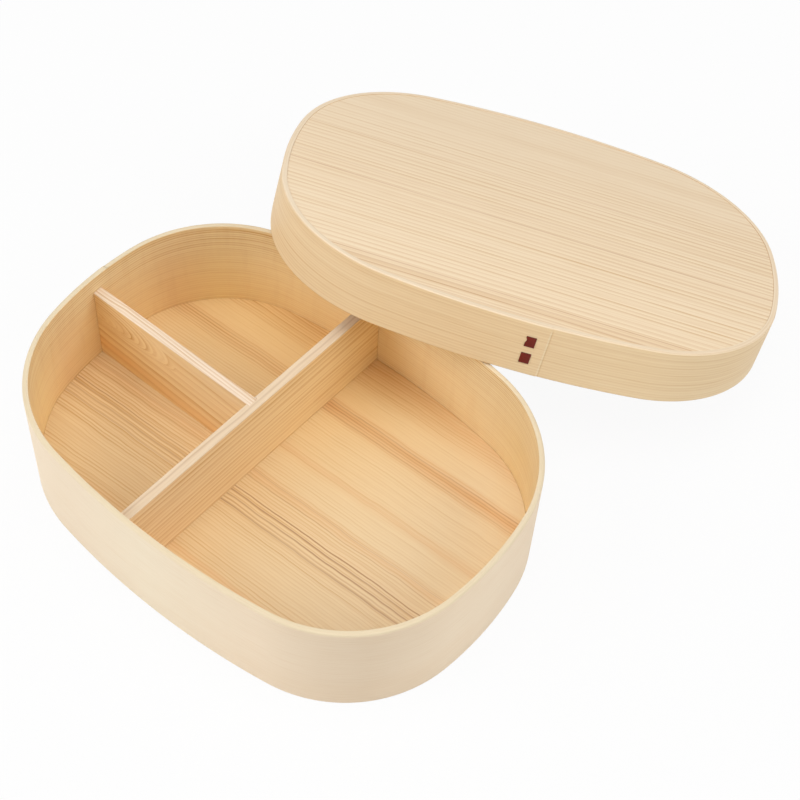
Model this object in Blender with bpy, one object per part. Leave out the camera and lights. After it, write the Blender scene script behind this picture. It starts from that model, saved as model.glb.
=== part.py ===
# A wooden bento box of bent cedar: an oval box with two loose dividers, and its lid taken off and
# leant on the far rim. Origin at the middle of the base board's underside, +X along the box,
# +Y across it towards the lid, +Z up. All lengths are in metres.

import math

import bmesh
import bpy
from mathutils import Matrix, Vector

# The oval, measured over the outside of the box's band
LENGTH = 0.180
WIDTH = 0.1306
CORNER_RADIUS = 0.0507
SIDE_BOW = 0.0031
END_BOW = 0.0009
SHORTEST_END = 0.002

# The box
HEIGHT = 0.0463
BAND_THICKNESS = 0.002
BASE_THICKNESS = 0.0055

# The lid
LID_HEIGHT = 0.0213
LID_BAND_THICKNESS = 0.002
LID_BOARD_THICKNESS = 0.0045
LID_BOARD_SINK = 0.0003
LID_PLAY = 0.0018

# How the lid leans: its turn seen from above, where its middle lies along X, and how far its near
# edge reaches in over the box
LID_TURN = math.radians(28.4)
LID_MIDDLE_X = 0.012
LID_REACH = 0.0231

# The dividers
DIVIDER_THICKNESS = 0.004
DIVIDER_HEIGHT = 0.0335
LONG_DIVIDER_X = -0.0127
LONG_DIVIDER_SKEW = math.radians(-2.0)
SHORT_DIVIDER_Y = 0.0011
SHORT_DIVIDER_SKEW = math.radians(-0.7)
GROOVE_DEPTH = 0.0013

# Each band's lap: its ends are pared thin, glued over each other, and sewn with a strip of bark.
# A seam's shift is measured along the outline from the middle of its side to the outer end.
LAP_LENGTH = 0.033
LAP_STEP = 0.00035
LAP_EDGE = 0.0008
LID_SEAM_SHIFT = 0.0122
BOX_SEAM_SHIFT = 0.0074
STITCH_FROM_SEAM = 0.0059

# The bark strips
BARK_WIDTH = 0.0034
BARK_THICKNESS = 0.0006
BARK_PROUD = 0.00025
BARK_TAB = 0.0017
STITCH_HEIGHT = 0.004
LID_STITCH_PITCH = 0.0069
LID_FIRST_STITCH = 0.0065
LID_STITCH_COUNT = 2
BOX_STITCH_PITCH = 0.008
BOX_FIRST_STITCH = 0.010
BOX_STITCH_COUNT = 4

# Gap between pieces that touch, and the rounding of edges
FIT = 0.0003
EDGE_ROUND = 0.0005
BOARD_ROUND = 0.0003

# How finely the curves are cut up
CORNER_STEPS = 14
SIDE_STEPS = 6
END_STEPS = 3
ROUND_STEPS = 2
WALK_STEPS = 200
TURN_DIGITS = 6

# The lean is found again this many times, from a first slope of the lid towards the table
LEAN_ROUNDS = 40
FIRST_SLOPE = -0.3

# A rim turns by more than the first angle, a shaded crease by more than the second, and points
# closer than this distance are one
RIM_ANGLE = math.radians(60)
CREASE_ANGLE = math.radians(35)
SAME_POINT = 0.000001

PALE_CEDAR = (0.87, 0.73, 0.55)
LID_CEDAR = (0.84, 0.68, 0.48)
WARM_CEDAR = (0.80, 0.62, 0.40)
DIVIDER_CEDAR = (0.78, 0.58, 0.37)
CHERRY_BARK = (0.17, 0.028, 0.020)
WOOD_ROUGHNESS = 0.55
BARK_ROUGHNESS = 0.5


def oval_quarter():
    # The quarter outline's three arcs: centre, radius and the last direction that the arc faces
    corner = min(CORNER_RADIUS, WIDTH / 2 - SIDE_BOW - SHORTEST_END)
    x = LENGTH / 2 - END_BOW - corner
    y = WIDTH / 2 - SIDE_BOW - corner
    end = corner + (y * y + END_BOW * END_BOW) / (2 * END_BOW)
    side = corner + (x * x + SIDE_BOW * SIDE_BOW) / (2 * SIDE_BOW)
    end_x = LENGTH / 2 - end
    side_y = WIDTH / 2 - side
    return (
        (end_x, 0.0, end, math.atan2(y, x - end_x)),
        (x, y, corner, math.atan2(y - side_y, x)),
        (0.0, side_y, side, math.pi / 2),
    )


QUARTER = oval_quarter()


def arc_facing(turn):
    # The arc whose outside faces this direction, and the direction folded into the first quarter
    folded = math.atan2(abs(math.sin(turn)), abs(math.cos(turn)))
    for x, y, radius, last in QUARTER:
        if folded <= last:
            return x, y, radius, folded
    return x, y, radius, folded


def oval_point(turn, offset):
    # The outline's point that faces this direction, moved outwards by offset
    x, y, radius, folded = arc_facing(turn)
    along = x + (radius + offset) * math.cos(folded)
    across = y + (radius + offset) * math.sin(folded)
    return Vector((math.copysign(along, math.cos(turn)), math.copysign(across, math.sin(turn))))


def oval_distance(point):
    # How far a point lies outside the outline, less than 0 inside it
    along, across = abs(point.x), abs(point.y)
    for x, y, radius, last in QUARTER:
        if math.atan2(across - y, along - x) <= last:
            break
    return math.hypot(along - x, across - y) - radius


def walk(turn, distance):
    # The direction reached by going this far along the outline, anticlockwise when positive
    for _ in range(WALK_STEPS):
        turn += distance / WALK_STEPS / arc_facing(turn)[2]
    return turn


class Seam:
    # A band's lap. The outer layer ends at outer_end, and the inner layer at inner_end.
    def __init__(self, middle, shift, lap):
        self.outer_end = walk(middle, shift)
        self.inner_end = walk(self.outer_end, lap)
        self.edge = LAP_EDGE / LAP_LENGTH
        self.stitch = walk(self.outer_end, math.copysign(STITCH_FROM_SEAM, lap))

    def share(self, turn):
        # 0 at the inner layer's end, 1 at the outer layer's end
        span = self.outer_end - self.inner_end
        turned = (turn - self.inner_end + math.pi) % math.tau - math.pi
        return turned / span

    def turns(self):
        span = self.outer_end - self.inner_end
        return [self.inner_end + share * span for share in (-self.edge, 0.0, 1.0, 1.0 + self.edge)]

    def step(self, share):
        # The step at a layer's end: full at 1, gone at 0 and just past the end
        if share <= 1.0:
            return LAP_STEP * max(share, 0.0)
        return LAP_STEP * max(1.0 - (share - 1.0) / self.edge, 0.0)

    def outer_step(self, turn):
        return self.step(self.share(turn))

    def inner_step(self, turn):
        return self.step(1.0 - self.share(turn))


BOX_SEAM = Seam(math.pi, -BOX_SEAM_SHIFT, LAP_LENGTH)
LID_SEAM = Seam(-math.pi / 2, LID_SEAM_SHIFT, -LAP_LENGTH)
LID_OUTER = LID_PLAY + LID_BAND_THICKNESS


def oval_turns(seam):
    # The directions at which an outline has its points, with those of the seam
    steps = (END_STEPS, CORNER_STEPS, SIDE_STEPS)
    first = 0.0
    turns = [math.pi / 2]
    for (_, _, _, last), count in zip(QUARTER, steps):
        turns += [first + (last - first) * i / count for i in range(count)]
        first = last
    whole = [t for turn in turns for t in (turn, math.pi - turn, math.pi + turn, -turn)]
    whole += seam.turns()
    return sorted({round(turn % math.tau, TURN_DIGITS) for turn in whole})


def outer_line(seam, offset):
    return [oval_point(turn, offset + seam.outer_step(turn)) for turn in oval_turns(seam)]


def inner_line(seam, offset, gap=0.0):
    return [oval_point(turn, offset - seam.inner_step(turn) - gap) for turn in oval_turns(seam)]


def material(name, color, roughness):
    made = bpy.data.materials.new(name)
    made.use_nodes = True
    shader = made.node_tree.nodes["Principled BSDF"]
    shader.inputs["Base Color"].default_value = (*color, 1.0)
    shader.inputs["Roughness"].default_value = roughness
    shader.inputs["Metallic"].default_value = 0.0
    made.diffuse_color = (*color, 1.0)
    return made


def new_object(name, mesh, collection, look=None):
    made = bpy.data.objects.new(name, mesh)
    collection.objects.link(made)
    if look is None:
        made.hide_render = True
        made.display_type = "WIRE"
    else:
        mesh.materials.append(look)
        mesh.shade_smooth()
        mesh.set_sharp_from_angle(angle=CREASE_ANGLE)
    return made


def add_loop(bm, line, filled):
    # A circle of the right number of points, drawn out to the line
    verts = bmesh.ops.create_circle(bm, cap_ends=filled, radius=1.0, segments=len(line))["verts"]
    for vert, point in zip(verts, line):
        vert.co = (point.x, point.y, 0.0)
    return list({edge for vert in verts for edge in vert.link_edges})


def raise_sheet(bm, bottom, top, rounding):
    # Make a flat sheet at 0 into a slab, with its rims rounded
    raised = bmesh.ops.extrude_face_region(bm, geom=bm.faces[:])["geom"]
    high = {item for item in raised if isinstance(item, bmesh.types.BMVert)}
    for vert in bm.verts:
        vert.co.z = top if vert in high else bottom
    bmesh.ops.recalc_face_normals(bm, faces=bm.faces[:])
    if rounding:
        rims = [edge for edge in bm.edges if edge.calc_face_angle(0.0) > RIM_ANGLE]
        bmesh.ops.bevel(
            bm, geom=rims, offset=rounding, segments=ROUND_STEPS, profile=0.5, affect="EDGES"
        )


def finish_mesh(name, bm):
    mesh = bpy.data.meshes.new(name)
    bm.to_mesh(mesh)
    bm.free()
    return mesh


def band_mesh(name, outer, inner, height):
    bm = bmesh.new()
    edges = add_loop(bm, outer, False) + add_loop(bm, inner, False)
    bmesh.ops.bridge_loops(bm, edges=edges)
    raise_sheet(bm, 0.0, height, EDGE_ROUND)
    return finish_mesh(name, bm)


def board_mesh(name, line, bottom, top, rounding):
    bm = bmesh.new()
    add_loop(bm, line, True)
    raise_sheet(bm, bottom, top, rounding)
    return finish_mesh(name, bm)


def bar_mesh(name, start, end, thickness, height, rounding):
    # A bar along X from start to end, standing on Z 0, with its top edges rounded
    bm = bmesh.new()
    bmesh.ops.create_cube(bm, size=1.0)
    bmesh.ops.scale(bm, vec=(end - start, thickness, height), verts=bm.verts)
    bmesh.ops.translate(bm, vec=((start + end) / 2, 0.0, height / 2), verts=bm.verts)
    if rounding:
        tops = [
            edge for edge in bm.edges
            if all(vert.co.z > height / 2 for vert in edge.verts)
            and abs(edge.verts[0].co.x - edge.verts[1].co.x) > thickness
        ]
        bmesh.ops.bevel(
            bm, geom=tops, offset=rounding, segments=ROUND_STEPS, profile=0.5, affect="EDGES"
        )
    return finish_mesh(name, bm)


def flat_mesh(name, line, thickness):
    # A flat outline with straight sides, as thick as given about its own plane
    curve = bpy.data.curves.new(name, "CURVE")
    curve.dimensions = "2D"
    curve.fill_mode = "BOTH"
    curve.extrude = thickness / 2
    spline = curve.splines.new("POLY")
    spline.points.add(len(line) - 1)
    for point, (x, y) in zip(spline.points, line):
        point.co = (x, y, 0.0, 1.0)
    spline.use_cyclic_u = True
    drawn = bpy.data.objects.new(name, curve)
    bpy.context.scene.collection.objects.link(drawn)
    evaluated = drawn.evaluated_get(bpy.context.evaluated_depsgraph_get())
    mesh = bpy.data.meshes.new_from_object(evaluated)
    bpy.data.objects.remove(drawn)
    bpy.data.curves.remove(curve)
    bm = bmesh.new()
    bm.from_mesh(mesh)
    bmesh.ops.remove_doubles(bm, verts=bm.verts, dist=SAME_POINT)
    bmesh.ops.recalc_face_normals(bm, faces=bm.faces[:])
    bm.to_mesh(mesh)
    bm.free()
    return mesh


def cut(target, cutter, operation="DIFFERENCE"):
    boolean = target.modifiers.new(cutter.name, "BOOLEAN")
    boolean.object = cutter
    boolean.operation = operation
    boolean.solver = "EXACT"


def lace_line(crossings, top, bottom, inner, outer, thickness):
    # The strip's side view: down the inside, out and in again at each pair of crossings
    front = [(inner + thickness, top)]
    back = [(inner, top)]
    outside = False
    half = thickness / 2
    for level in crossings:
        upper, lower = level + half, level - half
        if outside:
            front += [(outer, lower), (inner + thickness, lower)]
            back += [(outer - thickness, upper), (inner, upper)]
        else:
            front += [(inner + thickness, upper), (outer, upper)]
            back += [(inner, lower), (outer - thickness, lower)]
        outside = not outside
    front.append((inner + thickness, bottom))
    back.append((inner, bottom))
    return front + back[::-1]


def lace_meshes(name, seam, offset, thickness, first, pitch, count):
    # The bark strip, and the slits and pockets that it needs in the band
    outer = seam.outer_step(seam.stitch) + BARK_PROUD
    inner = -thickness - seam.inner_step(seam.stitch)
    reach = (STITCH_HEIGHT - BARK_THICKNESS) / 2
    middles = [first + pitch * i for i in reversed(range(count))]
    crossings = [level for middle in middles for level in (middle + reach, middle - reach)]
    top = crossings[0] + BARK_THICKNESS / 2 + BARK_TAB
    bottom = crossings[-1] - BARK_THICKNESS / 2 - BARK_TAB
    strip = lace_line(crossings, top, bottom, inner, outer, BARK_THICKNESS)
    room = lace_line(
        crossings, top + FIT, bottom - FIT, inner - FIT, outer + FIT, BARK_THICKNESS + 2 * FIT
    )
    foot = oval_point(seam.stitch, offset)
    outwards = Vector((math.cos(seam.stitch), math.sin(seam.stitch), 0.0))
    up = Vector((0.0, 0.0, 1.0))
    place = Matrix.Translation((foot.x, foot.y, 0.0))
    place @= Matrix((outwards, up, outwards.cross(up))).transposed().to_4x4()
    lace = flat_mesh(name, strip, BARK_WIDTH)
    slits = flat_mesh(name + "_slits", room, BARK_WIDTH + 2 * FIT)
    lace.transform(place)
    slits.transform(place)
    return lace, slits


def make_box(parts, cutters, pale, warm, bark):
    outer = outer_line(BOX_SEAM, 0.0)
    inner = inner_line(BOX_SEAM, -BAND_THICKNESS)
    board = inner_line(BOX_SEAM, -BAND_THICKNESS, FIT)
    band = new_object("box_band", band_mesh("box_band", outer, inner, HEIGHT), parts, pale)
    new_object(
        "box_base_board",
        board_mesh("box_base_board", board, 0.0, BASE_THICKNESS, BOARD_ROUND),
        parts, warm,
    )
    lace, slits = lace_meshes(
        "box_bark_lace", BOX_SEAM, 0.0, BAND_THICKNESS,
        BOX_FIRST_STITCH, BOX_STITCH_PITCH, BOX_STITCH_COUNT,
    )
    new_object("box_bark_lace", lace, parts, bark)
    cut(band, new_object("box_lace_slits", slits, cutters))


def make_dividers(parts, cutters, look):
    foot = BASE_THICKNESS + FIT
    room = inner_line(BOX_SEAM, -BAND_THICKNESS, FIT)
    inside = new_object(
        "box_inside", board_mesh("box_inside", room, 0.0, foot + 2 * DIVIDER_HEIGHT, 0.0), cutters
    )

    long_place = Matrix.Translation((LONG_DIVIDER_X, 0.0, foot))
    long_place @= Matrix.Rotation(math.pi / 2 + LONG_DIVIDER_SKEW, 4, "Z")
    long_divider = new_object(
        "long_divider",
        bar_mesh("long_divider", -WIDTH, WIDTH, DIVIDER_THICKNESS, DIVIDER_HEIGHT, EDGE_ROUND),
        parts, look,
    )
    long_divider.matrix_world = long_place

    # The short divider stands halfway between the end wall and the groove that it's let into
    joint_x = LONG_DIVIDER_X - DIVIDER_THICKNESS / 2 - SHORT_DIVIDER_Y * math.tan(LONG_DIVIDER_SKEW)
    short_x = (joint_x - LENGTH / 2) / 2
    short_end = joint_x - short_x + GROOVE_DEPTH - FIT
    short_place = Matrix.Translation((short_x, SHORT_DIVIDER_Y, foot))
    short_place @= Matrix.Rotation(SHORT_DIVIDER_SKEW, 4, "Z")
    short_divider = new_object(
        "short_divider",
        bar_mesh(
            "short_divider", -LENGTH / 2, short_end, DIVIDER_THICKNESS, DIVIDER_HEIGHT, EDGE_ROUND
        ),
        parts, look,
    )
    short_divider.matrix_world = short_place

    groove = new_object(
        "divider_groove",
        bar_mesh(
            "divider_groove", short_end - 2 * GROOVE_DEPTH, short_end + FIT,
            DIVIDER_THICKNESS + 2 * FIT, 2 * DIVIDER_HEIGHT, 0.0,
        ),
        cutters,
    )
    groove.matrix_world = short_place @ Matrix.Translation((0.0, 0.0, -DIVIDER_HEIGHT / 2))
    cut(long_divider, inside, "INTERSECT")
    cut(long_divider, groove)
    cut(short_divider, inside, "INTERSECT")


def rim_crossings(ring):
    # Where a ring, seen from above, crosses the box's outline
    found = []
    for here, there in zip(ring, ring[1:] + ring[:1]):
        a, b = oval_distance(here), oval_distance(there)
        if a * b < 0.0:
            found.append(here.lerp(there, a / (a - b)))
    return found


def lean_place():
    # The leaning lid's place. Its lower edge rests on the box's far rim at two points and on the
    # table at one, and the plane through those three is found again until it stays the same.
    rings = [
        [Vector((*oval_point(turn, offset), 0.0)) for turn in oval_turns(LID_SEAM)]
        for offset in (LID_OUTER, LID_PLAY)
    ]
    slope = Vector((0.0, FIRST_SLOPE))
    middle = Vector((LID_MIDDLE_X, WIDTH, 0.0))
    for _ in range(LEAN_ROUNDS):
        normal = Vector((-slope.x, -slope.y, 1.0)).normalized()
        tilt = Vector((0.0, 0.0, 1.0)).rotation_difference(normal).to_matrix()
        tilt @= Matrix.Rotation(LID_TURN, 3, "Z")
        leaning = [[tilt @ point for point in ring] for ring in rings]
        middle.y = WIDTH / 2 - LID_REACH - min(point.y for point in leaning[0])
        placed = [[point + middle for point in ring] for ring in leaning]
        crossings = rim_crossings(placed[0]) + rim_crossings(placed[1])
        crossings.sort(key=lambda point: point.x)
        left = min(crossings[:2], key=lambda point: point.xy @ slope)
        right = min(crossings[-2:], key=lambda point: point.xy @ slope)
        lowest = min(placed[0], key=lambda point: point.z)
        rows = Matrix([(*point.xy, 1.0) for point in (left, right, lowest)])
        found = rows.inverted() @ Vector((HEIGHT + FIT, HEIGHT + FIT, 0.0))
        slope = found.xy
    middle.z = found.z + slope @ middle.xy
    return Matrix.Translation(middle) @ tilt.to_4x4()


def make_lid(parts, cutters, pale, board_look, bark):
    outer = outer_line(LID_SEAM, LID_OUTER)
    inner = inner_line(LID_SEAM, LID_PLAY)
    board = inner_line(LID_SEAM, LID_PLAY, FIT)
    board_top = LID_HEIGHT - LID_BOARD_SINK
    band = new_object("lid_band", band_mesh("lid_band", outer, inner, LID_HEIGHT), parts, pale)
    top = new_object(
        "lid_top_board",
        board_mesh(
            "lid_top_board", board, board_top - LID_BOARD_THICKNESS, board_top, BOARD_ROUND
        ),
        parts, board_look,
    )
    strip, room = lace_meshes(
        "lid_bark_lace", LID_SEAM, LID_OUTER, LID_BAND_THICKNESS,
        LID_FIRST_STITCH, LID_STITCH_PITCH, LID_STITCH_COUNT,
    )
    lace = new_object("lid_bark_lace", strip, parts, bark)
    slits = new_object("lid_lace_slits", room, cutters)
    cut(band, slits)
    lid = bpy.data.objects.new("lid_place", None)
    parts.objects.link(lid)
    lid.matrix_world = lean_place()
    for piece in (band, top, lace, slits):
        piece.parent = lid


def main():
    for item in list(bpy.data.objects):
        bpy.data.objects.remove(item)
    parts = bpy.data.collections.new("wooden_bento_box")
    cutters = bpy.data.collections.new("cutters")
    for collection in (parts, cutters):
        bpy.context.scene.collection.children.link(collection)
    pale = material("pale_cedar", PALE_CEDAR, WOOD_ROUGHNESS)
    lid = material("lid_cedar", LID_CEDAR, WOOD_ROUGHNESS)
    warm = material("warm_cedar", WARM_CEDAR, WOOD_ROUGHNESS)
    divider = material("divider_cedar", DIVIDER_CEDAR, WOOD_ROUGHNESS)
    bark = material("cherry_bark", CHERRY_BARK, BARK_ROUGHNESS)
    make_box(parts, cutters, pale, warm, bark)
    make_dividers(parts, cutters, divider)
    make_lid(parts, cutters, pale, lid, bark)


main()
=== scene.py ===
import math

import bmesh
import bpy
from mathutils import Matrix, Vector


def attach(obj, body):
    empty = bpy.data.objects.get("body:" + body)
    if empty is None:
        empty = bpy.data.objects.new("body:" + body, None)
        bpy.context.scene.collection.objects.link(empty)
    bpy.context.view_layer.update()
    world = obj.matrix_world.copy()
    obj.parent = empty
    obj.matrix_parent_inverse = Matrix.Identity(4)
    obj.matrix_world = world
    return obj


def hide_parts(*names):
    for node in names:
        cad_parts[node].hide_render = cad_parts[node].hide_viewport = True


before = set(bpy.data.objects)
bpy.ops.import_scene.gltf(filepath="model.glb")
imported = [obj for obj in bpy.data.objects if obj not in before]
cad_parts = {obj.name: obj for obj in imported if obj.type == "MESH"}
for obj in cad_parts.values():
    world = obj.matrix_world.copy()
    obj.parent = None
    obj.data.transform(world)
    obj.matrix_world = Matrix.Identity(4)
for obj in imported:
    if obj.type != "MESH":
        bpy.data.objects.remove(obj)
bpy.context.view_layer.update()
skyward = Vector((0.0, 0.0, 1.0))

# The camera

view = {
    # degrees round from +X, up from the floor and round the line of sight
    "azimuth": -54.74,
    "elevation": 54.12,
    "roll": -4.39,
    "distance": 0.6542,
    "target": (0.0075, 0.0573, 0.0),
    "nearest": 0.01,  # nothing closer than this is drawn
    # millimetres
    "lens": 79.6,
    "sensor": 36.0,
}


def wayTo(azimuth, elevation):
    # The way that points so many degrees round from +X and so many up
    azimuth, elevation = math.radians(azimuth), math.radians(elevation)
    return Vector((
        math.cos(elevation) * math.cos(azimuth),
        math.cos(elevation) * math.sin(azimuth),
        math.sin(elevation),
    ))


def placeCamera():
    backwards = wayTo(view["azimuth"], view["elevation"])
    roll = math.radians(view["roll"])
    level = skyward.cross(backwards).normalized()
    upwards = backwards.cross(level)
    right = level * math.cos(roll) - upwards * math.sin(roll)
    upright = backwards.cross(right)
    spot = Vector(view["target"]) + backwards * view["distance"]
    lens = bpy.data.cameras.new("camera")
    lens.lens = view["lens"]
    lens.sensor_width = view["sensor"]
    lens.clip_start = view["nearest"]
    camera = bpy.data.objects.new("camera", lens)
    turned = Matrix((right, upright, backwards)).transposed().to_4x4()
    camera.matrix_world = Matrix.Translation(spot) @ turned
    bpy.context.scene.collection.objects.link(camera)
    bpy.context.scene.camera = camera


placeCamera()
print("camera placed")

# The oval outline, shared by every piece

oval = {
    "length": 0.180,
    "width": 0.1306,
    "corner": 0.0507,  # radius
    # how far the long sides and the ends bulge past a straight line between the corners
    "sideBow": 0.0031,
    "endBow": 0.0009,
    "steps": (8, 36, 20),  # points along a quarter's end, corner and side
}
tight = 0.00004  # gap left at a glued joint
loose = 0.0001  # gap left round a divider
quarterTurn = math.pi / 2
meshing = {
    "halvings": 50,  # steps that close in on a place along a line
    "rimAngle": 1.2,  # radians between two faces, past which their edge is a rim to round
    "roundSteps": 4,
    "rowDepth": 1.6,  # how many rounds below a rounded rim a row of points lies
    "creaseAngle": 40.0,  # degrees, past which an edge is drawn sharp
    # how much of a face's facing lies along a way: at least, for it to face that way at all, for
    # it to be a lace's broad face, and for it to be a slab's flat face
    "facing": 0.5,
    "broad": 0.95,
    "flat": 0.999,
    # how near two points are to count as one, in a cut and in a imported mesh
    "join": 0.000001,
    "weld": 0.00001,
}


def quarterArcs():
    # Centre, radius, first and last facing of the quarter outline's end, corner and side
    corner, sideBow, endBow = oval["corner"], oval["sideBow"], oval["endBow"]
    x = oval["length"] / 2 - endBow - corner
    y = oval["width"] / 2 - sideBow - corner
    endRadius = corner + (y * y + endBow * endBow) / (2 * endBow)
    sideRadius = corner + (x * x + sideBow * sideBow) / (2 * sideBow)
    endX = oval["length"] / 2 - endRadius
    sideY = oval["width"] / 2 - sideRadius
    first = math.atan2(y, x - endX)
    second = math.atan2(y - sideY, x)
    return [
        (endX, 0.0, endRadius, 0.0, first),
        (x, y, corner, first, second),
        (0.0, sideY, sideRadius, second, quarterTurn),
    ]


arcs = quarterArcs()
quarterLength = sum(radius * (last - first) for _, _, radius, first, last in arcs)
wholeLength = 4 * quarterLength


def ovalPoint(turn, offset):
    # The point whose outside faces this way, moved outwards by the offset
    folded = math.atan2(abs(math.sin(turn)), abs(math.cos(turn)))
    x, y, radius = next((arc[:3] for arc in arcs if folded <= arc[4]), arcs[-1][:3])
    along = x + (radius + offset) * math.cos(folded)
    across = y + (radius + offset) * math.sin(folded)
    return Vector((math.copysign(along, math.cos(turn)), math.copysign(across, math.sin(turn))))


def outwardsAt(turn):
    return Vector((math.cos(turn), math.sin(turn), 0.0))


def ovalFacing(point):
    # The way that the outline faces at a point, and how far outside it the point lies
    along, across = abs(point.x), abs(point.y)
    for x, y, radius, _, last in arcs:
        folded = math.atan2(across - y, along - x)
        if folded <= last:
            break
    offset = math.hypot(along - x, across - y) - radius
    facing = math.copysign(math.cos(folded), point.x), math.copysign(math.sin(folded), point.y)
    return math.atan2(facing[1], facing[0]) % math.tau, offset


def distanceTo(turn):
    # The outline's length from its +X end, anticlockwise, to where it faces this way
    turn %= math.tau
    quarter = int(turn / quarterTurn)
    folded = turn - quarter * quarterTurn
    if quarter % 2:
        folded = quarterTurn - folded
    length = sum(radius * max(0.0, min(folded, last) - first) for _, _, radius, first, last in arcs)
    return (quarter + 1) * quarterLength - length if quarter % 2 else quarter * quarterLength + length


def lastWhere(holds, low, high):
    # The last place from low to high where the test holds, found by halving
    for _ in range(meshing["halvings"]):
        middle = (low + high) / 2
        if holds(middle):
            low = middle
        else:
            high = middle
    return low


def turnAt(distance):
    # The way that the outline faces, so far round from its +X end
    distance %= wholeLength
    return lastWhere(lambda turn: distanceTo(turn) < distance, 0.0, math.tau)


lapPoints = {
    # where a lap's end has points: before it, this far past its cut edge, and past it
    "before": (-0.003, -0.0015, -0.0006, -0.0002, 0.0),
    "margin": 0.0003,
    "after": (0.001, 0.002),
    "apart": 0.004,  # radians from these to the outline's own points, at least
}


class Lap:
    # A band's overlap: its outer layer ends at end, and its inner layer one lap length behind it
    def __init__(self, spec, outer, inner):
        self.spec = spec
        self.outer = outer
        self.inner = inner
        self.end = distanceTo(math.radians(spec["middle"])) + spec["shift"]
        self.way = spec["way"]

    def past(self, turn):
        # How far a place lies past the outer layer's end, less than 0 along the lap
        past = (distanceTo(turn) - self.end) * self.way
        return (past + wholeLength / 2) % wholeLength - wholeLength / 2

    def at(self, past):
        return turnAt(self.end + past * self.way)

    def proud(self, past, step):
        # How far a layer stands proud, full at its end and gone a lap length behind it
        if past > 0.0:
            return step * max(0.0, 1.0 - past / self.spec["edge"])
        return step * max(0.0, 1.0 + past / self.spec["length"])

    def outerOffset(self, past):
        return self.outer + self.proud(past, self.spec["step"])

    def innerOffset(self, past):
        return self.inner - self.proud(-self.spec["length"] - past, self.spec["innerStep"])

    def turns(self):
        # Where the band has its points, closer together at both ends of the lap
        found = []
        for (_, _, _, first, last), count in zip(arcs, oval["steps"]):
            found += [first + (last - first) * i / count for i in range(count)]
        found = [t for turn in found for t in (turn, math.pi - turn, math.pi + turn, -turn)]
        found += [quarterTurn, -quarterTurn]
        edge = self.spec["edge"]
        near = [*lapPoints["before"], edge / 2, edge, edge + lapPoints["margin"], *lapPoints["after"]]
        own = {round(turn % math.tau, 6) for turn in found}
        close = {round(self.at(past) % math.tau, 6) for past in near}
        close |= {round(self.at(-self.spec["length"] - past) % math.tau, 6) for past in near}
        apart = lapPoints["apart"]
        spread = [turn for turn in own if all(abs(turn - other) > apart for other in close)]
        return sorted(spread + list(close))


def drawnLoop(bm, line, filled=False):
    # A circle with a point for each of the line's, drawn out to the line
    verts = bmesh.ops.create_circle(bm, cap_ends=filled, radius=1.0, segments=len(line))["verts"]
    for vert, point in zip(verts, line):
        vert.co = (point.x, point.y, 0.0)
    return list({edge for vert in verts for edge in vert.link_edges})


def raised(bm, low, high):
    # A flat sheet made a slab from low to high
    made = bmesh.ops.extrude_face_region(bm, geom=bm.faces[:])["geom"]
    upper = {item for item in made if isinstance(item, bmesh.types.BMVert)}
    for vert in bm.verts:
        vert.co.z = high if vert in upper else low
    bmesh.ops.recalc_face_normals(bm, faces=bm.faces[:])


def rounded(bm, round, select=None):
    # Rounds a slab's rims, or those that are selected
    rims = [edge for edge in bm.edges if edge.calc_face_angle(0.0) > meshing["rimAngle"]]
    if select:
        rims = [edge for edge in rims if select(edge)]
    bmesh.ops.bevel(
        bm, geom=rims, offset=round, offset_type="OFFSET", segments=meshing["roundSteps"],
        profile=0.5, affect="EDGES", material=-1, clamp_overlap=True,
    )


def addRows(bm, levels, way=skyward):
    # Rows of points across a mesh, at levels along a way
    for level in levels:
        bmesh.ops.bisect_plane(
            bm, geom=bm.verts[:] + bm.edges[:] + bm.faces[:], dist=meshing["join"],
            plane_co=way * level, plane_no=way,
        )


def asPiece(name, bm, place, node, body, finish):
    # Makes the mesh a piece, laid in its place, that stands for a node and rides on its body
    bm.normal_update()
    for face in bm.faces:
        face.smooth = abs(face.normal.z) < meshing["flat"]
    if place is not None:
        bmesh.ops.transform(bm, matrix=place, verts=bm.verts[:])
    mesh = bpy.data.meshes.new(name)
    bm.to_mesh(mesh)
    bm.free()
    mesh.set_sharp_from_angle(angle=math.radians(meshing["creaseAngle"]))
    mesh.materials.append(finish)
    piece = bpy.data.objects.new(name, mesh)
    bpy.context.scene.collection.objects.link(piece)
    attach(piece, body)
    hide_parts(node)


# Shader writing


class Amount:
    # A number in a shader: an expression on amounts adds the Math nodes for it
    def __init__(self, finish, socket):
        self.finish = finish
        self.socket = socket

    def math(self, operation, *values, clamp=False):
        node = self.finish.add(
            "ShaderNodeMath", {"operation": operation, "use_clamp": clamp}, dict(enumerate(values))
        )
        return Amount(self.finish, node.outputs[0])

    def __add__(self, other):
        return self.math("ADD", self, other)

    def __sub__(self, other):
        return self.math("SUBTRACT", self, other)

    def __rsub__(self, other):
        return self.math("SUBTRACT", other, self)

    def __mul__(self, other):
        return self.math("MULTIPLY", self, other)

    def __truediv__(self, other):
        return self.math("DIVIDE", self, other)

    def __pow__(self, other):
        return self.math("POWER", self, other)

    def __neg__(self):
        return self.math("MULTIPLY", self, -1.0)

    def clamped(self):
        return self.math("ADD", self, 0.0, clamp=True)

    def size(self):
        return self.math("ABSOLUTE", self)

    def whole(self):
        return self.math("FLOOR", self)

    def over(self, level):
        return self.math("GREATER_THAN", self, level)

    def most(self, other):
        return self.math("MAXIMUM", self, other)


roughnessOf = {"wood": 0.55, "bark": 0.42, "paper": 0.9}  # before any grain changes it


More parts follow.
